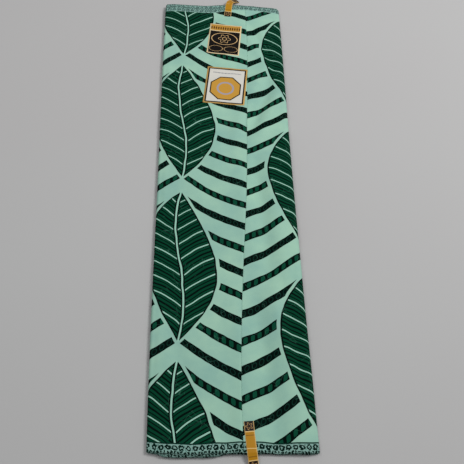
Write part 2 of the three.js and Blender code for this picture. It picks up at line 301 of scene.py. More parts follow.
def ends_of(x, turn):
    """Where the cloth's two selvedges lie at places across the bundle, on any of its turns."""
    half_turns = np.arange(len(NEAR_REACH))
    inner = step(1.3, 1.6, turn)
    stretch = step(-140, -126, x) * (1 - step(-26, -10, x))  # the left part of the near end
    near = smooth(SELVEDGES, "x", "near", x)
    near = near + inner * (INSET - np.interp(turn * 2, half_turns, NEAR_REACH) * stretch)
    upper = 1 - step(0.4, 0.8, turn)  # the top leaf alone
    far = smooth(SELVEDGES, "x", "far", x) * (1 - upper) + smooth(SELVEDGES, "x", "far_top", x) * upper
    return near, far - inner * (INSET - np.interp(turn * 2, half_turns, FAR_REACH) - FAR_RIGHT * step(45, 90, x))


def lay_cloth(plan, shares, last=1):
    """Points of the cloth in mm and its own flat coordinates. plan has (leg, turn, columns), shares are the rows.
    The last leg stops at a share of its own."""
    s = shares[:, None]
    y = CLOTH_WIDTH * (s - 0.5)
    parts = []
    for number, (kind, turn, columns) in enumerate(plan, 1):
        share = np.linspace(0, last if number == len(plan) else 1, columns + 1)[None, bool(parts) :]
        from_, to = PLACE[kind]
        parts.append(np.broadcast_arrays(*leg(kind, turn, y, share), turn + from_ + (to - from_) * share))
    x, z, turn = (np.concatenate(part, axis=1) for part in zip(*parts))
    near, far = ends_of(x, turn)
    # Each selvedge waves a little, on every turn in its own way.
    wave = 0.5 * np.sin(x / 9 + 2.1 * turn) + 0.4 * np.sin(x / 23 + 5.3 * turn)
    run = np.hypot(np.diff(x, axis=1), np.diff(z, axis=1))
    across = np.concatenate([np.zeros_like(s), np.cumsum(run, axis=1)], axis=1)
    flat = np.stack([across, CLOTH_WIDTH * s + 0 * x], axis=-1)
    return np.stack([x, near + (far - near) * s + wave * at_ends(s), z], axis=-1), flat


# %% [markdown]
# Every sheet here, of cotton or of paper, is a grid of points that also knows where each point lies on the flat sheet.
# That goes into a map called "flat", in metres, and every print is drawn on it. So a band of the print runs round a
# fold as ink does, and isn't projected from above.

# %% A mesh from a grid of points
def sheet_object(name, points, flat, thickness):
    """A sheet from a grid of points in mm, with half its thickness to each side."""
    rows, columns = points.shape[:2]
    index = np.arange(rows * columns).reshape(rows, columns)
    quads = np.stack([index[:-1, :-1], index[1:, :-1], index[1:, 1:], index[:-1, 1:]], axis=-1).reshape(-1, 4)
    mesh = bpy.data.meshes.new(name)
    mesh.from_pydata((points.reshape(-1, 3) * MM).tolist(), [], quads.tolist())
    layer = mesh.uv_layers.new(name="flat")
    layer.data.foreach_set("uv", (flat.reshape(-1, 2) * MM)[quads.ravel()].ravel())
    mesh.shade_smooth()
    piece = new_object(name, mesh)
    solid = piece.modifiers.new("thickness", "SOLIDIFY")
    solid.thickness = thickness * MM
    solid.offset = 0
    print(name, "faces:", len(quads))
    return piece


# %% [markdown]
# ## The outer turn
#
# This is the cloth that shows: the top leaf, the left fold, the underside, the right fold and the right leaf, which
# goes on under the top leaf. It gets a fine grid, so that the folds are round and the troughs are smooth.

# %% The outer turn
OUTER_PLAN = (
    ("cut end", 0, 36),
    ("dip", 0, 6),
    ("left fold", 0, 14),
    ("under", 0, 24),
    ("right fold", 0, 18),
    ("over", 1, 48),
)
OUTER_ROWS = 236
FOLD_COLUMN = OUTER_PLAN[0][2] + OUTER_PLAN[1][2] + OUTER_PLAN[2][2] // 2  # the left fold's middle, at flat 0
outer_points, outer_flat = lay_cloth(OUTER_PLAN, np.linspace(0, 1, OUTER_ROWS + 1))
outer_flat[..., 0] -= outer_flat[:, FOLD_COLUMN : FOLD_COLUMN + 1, 0]
outer_turn = sheet_object("outer_turn", outer_points, outer_flat, THICKNESS)

# %% [markdown]
# ## The turns inside
#
# They show only at the two ends and a little at the folds, so their grid is coarse along the bundle and closer at the
# ends. They carry on exactly where the outer turn stops, both in place and in the cloth's flat coordinates, so the
# print runs on. The inner end of the cloth stops two thirds of the way across, where six yards are used up.

# %% The turns inside
INNER_TURN = (("dip", 3), ("left fold", 8), ("under", 12), ("right fold", 8), ("over", 26))
INNER_ROWS = 80
LAST_SHARE = 0.665  # where six yards end, across the innermost leg
inner_plan = [(kind, turn + (kind == "over"), columns) for turn in range(1, LEVELS) for kind, columns in INNER_TURN]
even = np.linspace(0, 1, INNER_ROWS + 1)
inner_shares = 0.5 * even + 0.25 - 0.25 * np.cos(math.pi * even)  # closer at both ends
inner_points, inner_flat = lay_cloth(inner_plan, inner_shares, last=LAST_SHARE)
_, lead_flat = lay_cloth(OUTER_PLAN, inner_shares)
inner_flat[..., 0] += lead_flat[:, -1:, 0] - lead_flat[:, FOLD_COLUMN : FOLD_COLUMN + 1, 0]
inner_turns = sheet_object("inner_turns", inner_points, inner_flat, THICKNESS)

# %% [markdown]
# ## The cut end's threads
#
# The cut end isn't hemmed. Scissors leave it clean, and handling pulls out short ends of weft. They are thinner than
# a pixel in the main view, and up close they are what tells a cut end from a selvedge. Each is a bent three-sided
# tube: a curve object would do too, but one mesh is lighter than hundreds of splines.

# %% The cut end's threads
THREADS = 420
THREAD_RADIUS = 0.13
ROOT = 0.3  # how far inside the cloth a thread starts
SIDES, RINGS = 3, 4
draw = random.Random(7)
corners, faces = [], []
for _ in range(THREADS):
    row = draw.randrange(3, OUTER_ROWS - 3)
    start = outer_points[row, 0] + (outer_points[row + 1, 0] - outer_points[row, 0]) * draw.random()
    length, lean, lift = draw.uniform(0.6, 2.6), draw.uniform(-0.9, 0.9), draw.uniform(-0.5, 0.15)
    for ring in range(RINGS):
        u = ring / (RINGS - 1)
        middle = start + np.array([length * u - ROOT, lean * length * u * u, lift * min(length * u, 0.8)])
        for side in range(SIDES):
            angle = 2 * math.pi * side / SIDES
            corners.append(middle + THREAD_RADIUS * (1 - 0.5 * u) * np.array([0, math.cos(angle), math.sin(angle)]))
        if ring:
            upper = len(corners) - SIDES
            lower = upper - SIDES
            for side in range(SIDES):
                after = (side + 1) % SIDES
                faces.append((lower + side, lower + after, upper + after, upper + side))
    first, last = len(corners) - RINGS * SIDES, len(corners) - 1
    faces += [(first, first + 1, first + 2), (last, last - 1, last - 2)]
thread_mesh = bpy.data.meshes.new("cut_threads")
thread_mesh.from_pydata([tuple(point * MM) for point in corners], [], faces)
thread_mesh.shade_smooth()
cut_threads = new_object("cut_threads", thread_mesh)
print("threads:", THREADS, "faces:", len(faces))

# %% [markdown]
# ## Labels
#
# A label is a rectangle of coated paper, stuck on the top leaf a few degrees out of square. It follows the cloth
# below it, so its points are read from the cloth's own surface. One corner of each has come unstuck and curls up.

# %% The cloth's face at any place, and a label on it
PAPER = 0.12
CURL, CURL_FROM = 2.2, 0.72  # how high a loose corner curls up, and from where, if 1 is the corner
LABEL_COLUMNS, LABEL_ROWS = 20, 24
LABELS = {
    "far_label_paper": {"x": 3.4, "y": 452.2, "width": 82.5, "length": 109.5, "turn": -5.8, "loose": (-1, -1)},
    "near_label_paper": {"x": 3.3, "y": 288.0, "width": 100, "length": 122, "turn": -6.2, "loose": (1, 1)},
}


def face_height(x, y):
    """The height of the cloth's face at places on the bundle, on whichever leaf lies on top there."""
    level = np.where(x < smooth(OUTLINE, "y", "cut", y), 0, 1)
    near = smooth(SELVEDGES, "x", "near", x)
    far = np.where(level == 0, smooth(SELVEDGES, "x", "far_top", x), smooth(SELVEDGES, "x", "far", x))
    return height_at(x, CLOTH_WIDTH * ((y - near) / (far - near) - 0.5), level) + THICKNESS / 2


def lay_label(name, x, y, width, length, turn, loose):
    """A rectangle of paper on the cloth's face, turned by some degrees, with one loose corner."""
    u, v = np.meshgrid(np.linspace(-0.5, 0.5, LABEL_COLUMNS + 1), np.linspace(-0.5, 0.5, LABEL_ROWS + 1))
    angle = math.radians(turn)
    px = x + u * width * math.cos(angle) - v * length * math.sin(angle)
    py = y + u * width * math.sin(angle) + v * length * math.cos(angle)
    corner = np.clip((u * loose[0] + v * loose[1] - CURL_FROM) / (1 - CURL_FROM), 0, 1)
    pz = face_height(px, py) + PAPER + CURL * corner**2
    return sheet_object(name, np.stack([px, py, pz], axis=-1), np.stack([u * width, v * length], axis=-1), PAPER)


labels = {name: lay_label(name, **spec) for name, spec in LABELS.items()}

# %% [markdown]
# ## Sealing tapes
#
# A narrow paper tape seals each end: it is stuck on the face, runs out over the selvedges, and is cut off a little
# past them. It is stiff enough to keep a crease where it leaves the cloth. A tape is a strip swept along a line: on
# the cloth it takes the cloth's height, and past the edge it comes down to the floor.

# %% A tape along its middle line
TAPE_WIDTH = 18
TAPE_ROWS, TAPE_COLUMNS = 72, 8
DARK_END = 18  # how long the dark end on the cloth is
OVER_EDGE = 3  # how far past the cloth's edge a tape is still no lower than the cloth
CUP = 0.35  # how far the free end's sides rise
TAPES = {
    "near_tape_paper": {
        "x": (28.2, 30.3, 32.7, 33.4, 34.4, 35.9, 38),
        "y": (-530, -558, -582.5, -588.5, -596, -608, -625),
        "z": (0, 0, 0, 11.6, 8.2, 3.9, 0.7),
        "leaves_at": 582.5,
        "outer_end": 29,  # how long its other dark end is
    },
    "far_tape_paper": {
        "x": (13, 16, 18.2, 19.4, 22.5, 30, 43),
        "y": (540, 566, 585, 591.5, 603, 614, 625),
        "z": (0, 0, 0, 16.4, 13, 7, 1),
        "leaves_at": 586,
        "outer_end": 18,
    },
}


def lay_tape(name, x, y, z, leaves_at, outer_end):
    """A strip swept along a line, and how long it would be with two dark ends alike."""
    lift = 1.5 * PAPER
    x, y, z = (np.array(column, float) for column in (x, y, z))
    on_cloth = np.abs(y) <= leaves_at
    z[on_cloth] = face_height(x[on_cloth], y[on_cloth]) + lift
    run = np.concatenate([[0], np.cumsum(np.hypot(np.hypot(np.diff(x), np.diff(y)), np.diff(z)))])
    table = {"run": run, "x": x, "y": y, "z": z}
    at = np.linspace(0, run[-1], TAPE_ROWS + 1)
    line = np.stack([smooth(table, "run", name, at) for name in "xyz"], axis=-1)
    heading = np.gradient(line, axis=0)
    side = np.stack([heading[:, 1], -heading[:, 0], 0 * at], axis=-1)
    side /= np.linalg.norm(side, axis=1, keepdims=True)
    across = np.linspace(-0.5, 0.5, TAPE_COLUMNS + 1) * TAPE_WIDTH
    points = line[:, None, :] + side[:, None, :] * across[None, :, None]
    past = np.abs(points[..., 1]) - leaves_at
    face = face_height(points[..., 0], points[..., 1]) + lift
    over_edge = np.where(past < OVER_EDGE, np.maximum(points[..., 2], face), points[..., 2])
    points[..., 2] = np.where(past <= 0, face, over_edge)
    points[..., 2] += CUP * (across[None, :] / (TAPE_WIDTH / 2)) ** 2 * step(0.75, 1, at / run[-1])[:, None]
    flat = np.stack(np.broadcast_arrays(across[None, :], at[:, None]), axis=-1)
    print(name, "length in mm:", round(run[-1], 1))
    return sheet_object(name, points, flat, PAPER), float(run[-1]) - outer_end + DARK_END


tapes = {name: lay_tape(name, **spec) for name, spec in TAPES.items()}

# %% [markdown]
# ## Helpers for every finish
#
# Colours are written as the eye reads them, in sRGB hex, and one function turns them to the linear values that the
# renderer works in. One more function adds a node, sets it, and feeds its inputs in order with values or other nodes.
# The rest start a material, tell how far a place on the sheet is from a point, and give a material to its pieces.

# %% Colour and node helpers
def ink(code):
    """A linear colour from an sRGB hex value."""
    channels = [int(code[i : i + 2], 16) / 255 for i in (1, 3, 5)]
    return (*[c / 12.92 if c <= 0.04045 else ((c + 0.055) / 1.055) ** 2.4 for c in channels], 1)


def add(tree, kind, *feeds, named=None, **settings):
    """Adds a node to a tree. feeds go to its enabled inputs in order, and named to inputs by name."""
    node = tree.nodes.new(kind)
    for key, value in settings.items():
        setattr(node, key, value)
    enabled = [socket for socket in node.inputs if socket.enabled]
    wanted = list(zip(enabled, feeds)) + [(node.inputs[key], value) for key, value in (named or {}).items()]
    for socket, value in wanted:
        if isinstance(value, bpy.types.Node):
            value = next(out for out in value.outputs if out.enabled)
        if isinstance(value, bpy.types.NodeSocket):
            tree.links.new(value, socket)
        elif value is not None:
            socket.default_value = value
    return node


MATH, VECTOR, MIX, NOISE = "ShaderNodeMath", "ShaderNodeVectorMath", "ShaderNodeMix", "ShaderNodeTexNoise"
SPLIT, JOIN = "ShaderNodeSeparateXYZ", "ShaderNodeCombineXYZ"
SURFACE, OUTPUT = "ShaderNodeBsdfPrincipled", "ShaderNodeOutputMaterial"


def new_material(name):
    """An empty material and its tree."""
    material = bpy.data.materials.new(name)
    material.use_nodes = True
    material.node_tree.nodes.clear()
    return material, material.node_tree


def new_finish(name):
    """An empty material, its tree, the flat sheet's coordinates in metres, and the same in millimetres."""
    material, tree = new_material(name)
    metres = add(tree, "ShaderNodeUVMap", uv_map="flat")
    return material, tree, metres, add(tree, VECTOR, metres, (1 / MM, 1 / MM, 0), operation="MULTIPLY")


def distance(tree, x, y):
    """How far a place is from the point where x and y are 0."""
    return add(tree, VECTOR, add(tree, JOIN, x, y, 0), operation="LENGTH")


def give(material, surface, *pieces):
    """Ends a material with its surface, and gives it to pieces."""
    tree = material.node_tree
    add(tree, OUTPUT, add(tree, SURFACE, named=surface))
    for piece in pieces:
        piece.data.materials.append(material)


# %% [markdown]
# ## The printed cotton
#
# Wax print is plain-woven cotton, printed by rollers with a resin resist and then with blocks of colour. It gives the
# eye flat, strong inks with slightly hand-cut edges on a clear ground, a few pale cracks where the resist broke, and
# a crisp cloth with hardly any sheen, so that its dark inks stay dark under a bright light.
#
# The print here is a generic one: columns of large leaves, each column half a drop from the next, and beaded bands
# that curve away from them like the barbs of a feather. It could be a picture, but a picture has one resolution. Here
# it is arithmetic on the flat cloth, in millimetres. The wrap operation folds the whole cloth into one repeat.

# %% The flat cloth in millimetres, with the drift of a hand-cut roller
DRIFT = 7  # how far a printed line strays at most
cotton, tree, metres, millimetres = new_finish("wax_printed_plain_weave_cotton")
drift = add(tree, NOISE, metres, named={"Scale": 22, "Detail": 1.5})
moved = add(tree, VECTOR, drift.outputs["Color"], (DRIFT, DRIFT, 0), millimetres, operation="MULTIPLY_ADD")
cloth = add(tree, SPLIT, moved)
s, v = cloth.outputs["X"], cloth.outputs["Y"]  # round the bundle, and along it

# %% The repeat: which column of leaves, and where in it
COLUMN = 350  # from one column of leaves to the next
ROW = 390  # from one leaf to the next in its column
AXIS = -52  # the first column's middle, on the top leaf
from_axis = add(tree, MATH, s, AXIS, operation="SUBTRACT")
a = add(tree, MATH, from_axis, COLUMN / 2, -COLUMN / 2, operation="WRAP")
beside = add(tree, MATH, a, operation="ABSOLUTE")
column = add(tree, MATH, add(tree, MATH, from_axis, COLUMN, operation="DIVIDE"), operation="ROUND")
odd = add(tree, MATH, column, 2, operation="FLOORED_MODULO")
dropped = add(tree, MATH, odd, ROW / 2, v, operation="MULTIPLY_ADD")
b = add(tree, MATH, dropped, ROW / 2, -ROW / 2, operation="WRAP")  # a and b start at a leaf's middle

# %% The leaf's outline: a pointed lens that sways
LEAF_HALF_LENGTH, LEAF_HALF_WIDTH = 176, 74
SWAY = 10  # how far the midrib swings to each side
SWAY_RADIAN = 58  # how long one radian of its swing is
bend = add(tree, MATH, add(tree, MATH, b, 1 / SWAY_RADIAN, operation="MULTIPLY"), operation="SINE")
swayed = add(tree, MATH, bend, -SWAY, a, operation="MULTIPLY_ADD")
off_rib = add(tree, MATH, swayed, operation="ABSOLUTE")
along = add(tree, MATH, add(tree, MATH, b, LEAF_HALF_LENGTH, operation="DIVIDE"), 2, operation="POWER")
half_width = add(tree, MATH, along, -LEAF_HALF_WIDTH, LEAF_HALF_WIDTH, operation="MULTIPLY_ADD")
inside = add(tree, MATH, half_width, off_rib, operation="SUBTRACT")
leaf = add(tree, MATH, inside, 0, operation="GREATER_THAN")

# %% The leaf's colours: a ramp across each vein's repeat, a midrib and a dark edge
VEIN = 36  # from one vein to the next
VEIN_SLOPE, VEIN_CURVE = 0.9, 0.0042
LEAF_EDGE, RIB_HALF, RIB_SHADE = 3.5, 1.7, 4.6
MINT, GREEN, BLACK = "#9ccbb7", "#053f2a", "#010e0a"
LEAF_STRIPES = ((0, MINT), (0.085, BLACK), (0.17, GREEN), (0.44, BLACK), (0.58, GREEN), (0.88, BLACK))
rise = add(tree, MATH, off_rib, -VEIN_SLOPE, b, operation="MULTIPLY_ADD")
square = add(tree, MATH, off_rib, 2, operation="POWER")
curl = add(tree, MATH, square, VEIN_CURVE, rise, operation="MULTIPLY_ADD")
vein = add(tree, MATH, add(tree, MATH, curl, VEIN / 2, -VEIN / 2, operation="WRAP"), operation="ABSOLUTE")
leaf_ramp = add(tree, "ShaderNodeValToRGB", add(tree, MATH, vein, VEIN / 2, operation="DIVIDE"))
leaf_ramp.color_ramp.interpolation = "CONSTANT"
for place, _ in LEAF_STRIPES[2:]:
    leaf_ramp.color_ramp.elements.new(place)
for element, (place, code) in zip(leaf_ramp.color_ramp.elements, LEAF_STRIPES):
    element.position = place
    element.color = ink(code)
edge = add(tree, MATH, inside, LEAF_EDGE, operation="LESS_THAN")
beside_rib = add(tree, MATH, off_rib, RIB_SHADE, operation="LESS_THAN")
dark_parts = add(tree, MATH, edge, beside_rib, operation="MAXIMUM")
edged = add(tree, MIX, dark_parts, leaf_ramp, ink(BLACK), data_type="RGBA")
rib = add(tree, MATH, off_rib, RIB_HALF, operation="LESS_THAN")
leaf_colour = add(tree, MIX, rib, edged, ink(MINT), data_type="RGBA")

# %% The bands: curving away from the leaves on both sides
BAND = ROW / 7  # from one band to the next, along the bundle
BAND_HALF = 8.8
BAND_SLOPE, BAND_CURVE = 0.84, 0.0013
BAND_STRETCH = 1.16  # how long a band is for each millimetre beside the leaf's axis
LEAF_GAP = 7  # between a band and a leaf
BEAD = 17  # from one bead or ring to the next
eased = add(tree, MATH, beside, -BAND_CURVE, BAND_SLOPE, operation="MULTIPLY_ADD")
curved = add(tree, MATH, beside, eased, dropped, operation="MULTIPLY_ADD")
from_band = add(tree, MATH, curved, BAND / 2, -BAND / 2, operation="WRAP")
in_band = add(tree, MATH, add(tree, MATH, from_band, operation="ABSOLUTE"), BAND_HALF, operation="LESS_THAN")
clear_of_leaf = add(tree, MATH, inside, -LEAF_GAP, operation="LESS_THAN")
band = add(tree, MATH, in_band, clear_of_leaf, operation="MULTIPLY")
band_number = add(tree, MATH, add(tree, MATH, curved, BAND, operation="DIVIDE"), operation="ROUND")
beaded = add(tree, MATH, band_number, 2, operation="FLOORED_MODULO")
along_band = add(tree, MATH, beside, BAND_STRETCH, operation="MULTIPLY")
from_bead = add(tree, MATH, along_band, BEAD / 2, -BEAD / 2, operation="WRAP")

# %% The beads of one kind of band, and the faint rings of the other
BEAD_HALF_WIDTH, BEAD_HALF_HEIGHT = 4.9, 6.0
RING_RADIUS, RING_HALF = 5.2, 0.9
bead_x = add(tree, MATH, add(tree, MATH, from_bead, BEAD_HALF_WIDTH, operation="DIVIDE"), 4, operation="POWER")
bead_y = add(tree, MATH, add(tree, MATH, from_band, BEAD_HALF_HEIGHT, operation="DIVIDE"), 4, operation="POWER")
bead = add(tree, MATH, add(tree, MATH, bead_x, bead_y, operation="ADD"), 1, operation="LESS_THAN")
beads = add(tree, MIX, bead, ink(BLACK), ink("#0a4632"), data_type="RGBA")
ring = add(tree, MATH, distance(tree, from_bead, from_band), RING_RADIUS, RING_HALF, operation="COMPARE")
rings = add(tree, MIX, ring, ink(BLACK), ink("#0d3026"), data_type="RGBA")
band_colour = add(tree, MIX, beaded, rings, beads, data_type="RGBA")

# %% [markdown]
# The ground is one flat mint ink, but it is never quite even: the cloth took it up in soft patches, and the patches
# are drawn stronger than the dye alone would make them, as painted shade for the soft relief of the top. The broken
# resist shows as fine pale cracks in the dark inks. Real ones are a few tenths of a millimetre wide, and are drawn at
# 0.6 mm, as coarse as they need to show.

# %% The ground, the cracks and the three colours put together
CELLS_PER_MM = 0.055
CRACK_HALF = 0.016  # in cells
CRACK_STRENGTH = 0.18
# The ground's soft light and dark patches are partly uneven dye and partly painted shade for the cloth's soft relief.
dye_and_painted_shade_patches = add(tree, NOISE, metres, named={"Scale": 10, "Detail": 4, "Roughness": 0.6})
ground = add(tree, MIX, dye_and_painted_shade_patches, ink("#75a5a3"), ink("#b5dcbd"), data_type="RGBA")
cell_place = add(tree, VECTOR, moved, (CELLS_PER_MM, CELLS_PER_MM, 0), operation="MULTIPLY")
cells = add(tree, "ShaderNodeTexVoronoi", cell_place, named={"Scale": 1.0}, feature="DISTANCE_TO_EDGE")
broken = add(tree, NOISE, metres, named={"Scale": 30, "Detail": 2})
where_broken = add(tree, MATH, broken, 0.56, operation="GREATER_THAN")
on_crack = add(tree, MATH, cells, CRACK_HALF, operation="LESS_THAN")
crack = add(tree, MATH, on_crack, where_broken, operation="MULTIPLY")
faint = add(tree, MATH, crack, CRACK_STRENGTH, operation="MULTIPLY")
dark_inks = add(tree, MIX, leaf, band_colour, leaf_colour, data_type="RGBA")
cracked_inks = add(tree, MIX, faint, dark_inks, ink("#5d9a83"), data_type="RGBA")
inked = add(tree, MATH, band, leaf, operation="MAXIMUM")
cracked = add(tree, MIX, inked, ground, cracked_inks, data_type="RGBA")

# %% [markdown]
# ## The selvedge
#
# The print stops 17 mm from each edge of the cloth. On one side a thin dark line ends it. The selvedge is paler and
# greyer, and printed with a close row of small marks. Here they are plain rings and dots, pulled out of shape by
# noise, and fainter on the far side.

# %% The selvedge's marks
SELVEDGE = 17
MARK = 12  # from one ring to the next
RING_ROW, MARK_RADIUS, MARK_HALF = 10.1, 3.4, 1.6
DOT_ROW, DOT_RADIUS = 2.2, 2.2
SHAKE = 8  # how far the noise can pull a mark, half of which is taken off again
shake = add(tree, NOISE, metres, named={"Scale": 190, "Detail": 1})
shaken = add(tree, VECTOR, shake.outputs["Color"], (SHAKE, SHAKE, 0), millimetres, operation="MULTIPLY_ADD")
sides = []
for place in (millimetres, shaken):
    split = add(tree, SPLIT, place)
    other = add(tree, MATH, CLOTH_WIDTH + SHAKE * (place is shaken), split.outputs["Y"], operation="SUBTRACT")
    sides.append((split.outputs["X"], add(tree, MATH, split.outputs["Y"], other, operation="MINIMUM")))
from_edge, (mark_s, mark_edge) = sides[0][1], sides[1]
mark_x = add(tree, MATH, mark_s, MARK / 2, -MARK / 2, operation="WRAP")
mark_y = add(tree, MATH, mark_edge, RING_ROW + SHAKE / 2, operation="SUBTRACT")
mark_ring = add(tree, MATH, distance(tree, mark_x, mark_y), MARK_RADIUS, MARK_HALF, operation="COMPARE")
dot_x = add(tree, MATH, mark_s, MARK / 4, -MARK / 4, operation="WRAP")
dot_y = add(tree, MATH, mark_edge, DOT_ROW + SHAKE / 2, operation="SUBTRACT")
dot = add(tree, MATH, distance(tree, dot_x, dot_y), DOT_RADIUS, operation="LESS_THAN")
mark = add(tree, MATH, mark_ring, dot, operation="MAXIMUM")

# %% The selvedge's own ground, its marks and its line over the print
LINE_AT, LINE_HALF, LINE_WAVER = SELVEDGE + 1.6, 1.2, 2.2
near_side = add(tree, MATH, add(tree, SPLIT, millimetres).outputs["Y"], CLOTH_WIDTH / 2, operation="LESS_THAN")
specks = add(tree, "ShaderNodeTexVoronoi", millimetres, named={"Scale": 0.32})
speck = add(tree, MATH, specks.outputs["Distance"], 0.34, operation="LESS_THAN")
speckled = add(tree, MIX, speck, ink("#86aaa0"), ink("#527970"), data_type="RGBA")
mark_ink = add(tree, MIX, near_side, ink("#4a645f"), ink("#041f18"), data_type="RGBA")
marked = add(tree, MIX, mark, speckled, mark_ink, data_type="RGBA")
in_selvedge = add(tree, MATH, from_edge, SELVEDGE, operation="LESS_THAN")
with_selvedge = add(tree, MIX, in_selvedge, cracked, marked, data_type="RGBA")
wavering = add(tree, MATH, drift, LINE_WAVER, from_edge, operation="MULTIPLY_ADD")
on_line = add(tree, MATH, wavering, LINE_AT, LINE_HALF, operation="COMPARE")
line = add(tree, MATH, on_line, near_side, operation="MULTIPLY")
printed = add(tree, MIX, line, with_selvedge, ink("#042a20"), data_type="RGBA")

# %% [markdown]
# ## The weave
#
# Wax print has about 30 threads to the centimetre, which is 0.33 mm from thread to thread. That is too fine to show,
# so the weave is drawn at 0.8 mm. In a plain weave each thread passes over one and under the next, which is a product
# of two sines. The starch in the cloth also leaves a faint crumple about a centimetre across.

# %% The weave and the crumple, and the cotton's surface
THREAD_PITCH = 0.8
phase = add(tree, VECTOR, millimetres, (math.pi / THREAD_PITCH,) * 3, operation="MULTIPLY")
two_ways = add(tree, SPLIT, add(tree, VECTOR, phase, operation="SINE"))
weave = add(tree, MATH, two_ways.outputs["X"], two_ways.outputs["Y"], operation="MULTIPLY")
crumple = add(tree, NOISE, metres, named={"Scale": 70, "Detail": 3, "Roughness": 0.55})
crumpled = add(tree, "ShaderNodeBump", named={"Strength": 0.35, "Distance": 0.0005, "Height": crumple})
thread_bump = {"Strength": 0.3, "Distance": 0.00008, "Height": weave, "Normal": crumpled}
woven = add(tree, "ShaderNodeBump", named=thread_bump)
roughness = add(tree, MATH, dye_and_painted_shade_patches, 0.1, 0.68, operation="MULTIPLY_ADD")
SHEEN = {"Specular IOR Level": 0.03, "Sheen Weight": 0.01, "Sheen Roughness": 0.5}
give(cotton, {"Base Color": printed, "Roughness": roughness, "Normal": woven, **SHEEN}, outer_turn, inner_turns)
print("nodes in the cotton:", len(tree.nodes))

# %% [markdown]
# The threads at the cut end are single cotton yarns, dyed mint through, with a soft dull surface.

# %% Cotton yarn
yarn, tree = new_material("mint_cotton_yarn")
fibre = add(tree, NOISE, named={"Scale": 900, "Detail": 2})
yarn_colour = add(tree, MIX, fibre, ink("#84b5a1"), ink("#b4d8ca"), data_type="RGBA")
give(yarn, {"Base Color": yarn_colour, "Roughness": 0.85, "Specular IOR Level": 0.1}, cut_threads)

# %% [markdown]
# ## Paper labels and tapes
#
# They are coated paper, printed and cut by machine: smooth and opaque, with a low gloss that shows wherever the paper
# bends. The prints are plain frames, an eight-sided seal, rosettes and rows of small marks, on the same flat
# coordinates in millimetres.

# %% What the prints on paper share
COATED = {"Roughness": 0.42, "Specular IOR Level": 0.18}
FINE_LINE_HALF, RULE_HALF = 0.7, 1.3


def label_places(tree, millimetres, spec):
    """x, y, how far a place is from the label's long axis, and how far from its border."""
    place = add(tree, SPLIT, millimetres)
    x, y = place.outputs["X"], place.outputs["Y"]
    beside = add(tree, MATH, x, operation="ABSOLUTE")
    from_side = add(tree, MATH, spec["width"] / 2, beside, operation="SUBTRACT")
    from_end = add(tree, MATH, spec["length"] / 2, add(tree, MATH, y, operation="ABSOLUTE"), operation="SUBTRACT")
    return x, y, beside, add(tree, MATH, from_side, from_end, operation="MINIMUM")


def rosette(tree, x, y, petals, swing, size):
    """A fine line round a rosette that has its middle where x and y are 0."""
    angle = add(tree, MATH, y, x, operation="ARCTAN2")
    lobes = add(tree, MATH, add(tree, MATH, angle, petals, operation="MULTIPLY"), operation="COSINE")
    rim = add(tree, MATH, lobes, swing, size, operation="MULTIPLY_ADD")
    return add(tree, MATH, rim, distance(tree, x, y), FINE_LINE_HALF, operation="COMPARE")


# %% The far label: a gold band with upright marks over a dark field with a rosette
OVALS = ((0, 2, 33, 21), (19, -35, 17, 10))  # x, y, half width and half height
OVAL_LINE_HALF = 0.033  # in half widths
ROSETTE_Y, ROSETTE_RING = 2, 5.5
BAND_FROM, BAND_MARKS = 30, 40.5  # where the gold band starts, and the middle of its marks
BAND_PITCH, BAND_MARK = 6, 1.8  # from mark to mark, and half a mark's width
BAND_SQUEEZE = 0.35  # a mark's width for its height
PALE_BORDER = 3
dark_paper, tree, _, millimetres = new_finish("dark_coated_label_paper")
x, y, beside, to_border = label_places(tree, millimetres, LABELS["far_label_paper"])
field_y = add(tree, MATH, y, ROSETTE_Y, operation="SUBTRACT")
petal = rosette(tree, x, field_y, petals=6, swing=2.6, size=13)
ring = add(tree, MATH, distance(tree, x, field_y), ROSETTE_RING, FINE_LINE_HALF, operation="COMPARE")
lines = add(tree, MATH, petal, ring, operation="MAXIMUM")
for oval_x, oval_y, wide, high in OVALS:
    dx = add(tree, MATH, add(tree, MATH, beside, oval_x, operation="SUBTRACT"), wide, operation="DIVIDE")
    dy = add(tree, MATH, add(tree, MATH, y, oval_y, operation="SUBTRACT"), high, operation="DIVIDE")
    oval = add(tree, MATH, distance(tree, dx, dy), 1, OVAL_LINE_HALF, operation="COMPARE")
    lines = add(tree, MATH, lines, oval, operation="MAXIMUM")
field = add(tree, MIX, lines, ink("#0b0605"), ink("#d6b27c"), data_type="RGBA")
dot_x = add(tree, MATH, x, BAND_PITCH / 2, -BAND_PITCH / 2, operation="WRAP")
above = add(tree, MATH, y, BAND_MARKS, operation="SUBTRACT")
dot_y = add(tree, MATH, above, BAND_SQUEEZE, operation="MULTIPLY")
dot = add(tree, MATH, distance(tree, dot_x, dot_y), BAND_MARK, operation="LESS_THAN")
band_ink = add(tree, MIX, dot, ink("#b98939"), ink("#4f2e0a"), data_type="RGBA")
on_band = add(tree, MATH, y, BAND_FROM, operation="GREATER_THAN")
banded = add(tree, MIX, on_band, field, band_ink, data_type="RGBA")
rule = add(tree, MATH, y, BAND_FROM, RULE_HALF, operation="COMPARE")
border = add(tree, MATH, to_border, PALE_BORDER, operation="LESS_THAN")
pale = add(tree, MATH, rule, border, operation="MAXIMUM")
label_colour = add(tree, MIX, pale, banded, ink("#e6d0a3"), data_type="RGBA")
give(dark_paper, {"Base Color": label_colour, **COATED}, labels["far_label_paper"])

